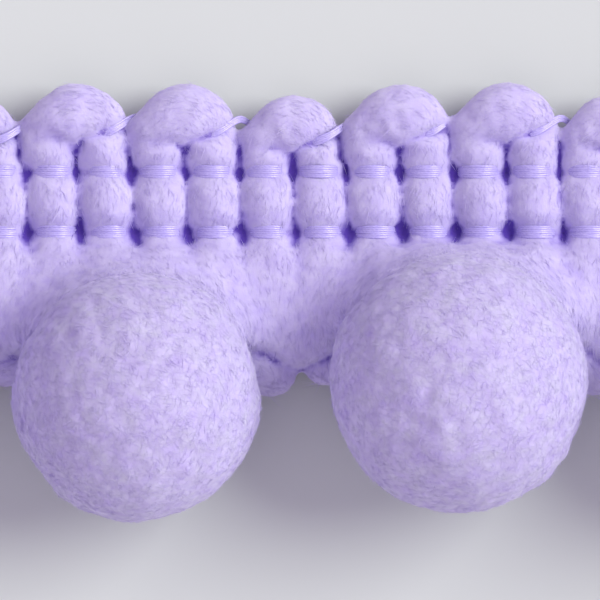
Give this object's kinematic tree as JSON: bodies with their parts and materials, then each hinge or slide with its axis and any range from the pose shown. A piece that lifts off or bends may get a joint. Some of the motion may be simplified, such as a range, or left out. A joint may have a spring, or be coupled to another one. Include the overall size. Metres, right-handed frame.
{
  "type": "pompom fringe trim",
  "caption": "Narrow yarn trim with a looped heading held by thin binding threads, and a row of small round pompoms along its lower edge.",
  "frame": {"origin": "under the middle of the trim as it lies on its back, at the height of the surface that it lies on", "axes": "+X along the trim, +Y from the pompoms towards the looped edge, +Z out of the trim's face"},
  "size_m": [0.0332, 0.0103, 0.0059],
  "materials": {
    "band_yarn": "soft brushed lilac yarn",
    "binding_thread": "thin glossy lilac filament thread",
    "pompom_pile": "dense cut lilac pile"
  },
  "bodies": {
    "root": {"yarn_band": "band_yarn", "pompom_1": "pompom_pile", "pompom_2": "pompom_pile", "pompom_3": "pompom_pile", "pompom_4": "pompom_pile", "binding_thread_lower": "binding_thread", "binding_thread_middle": "binding_thread", "binding_thread_top": "binding_thread"}
  },
  "joints": []
}
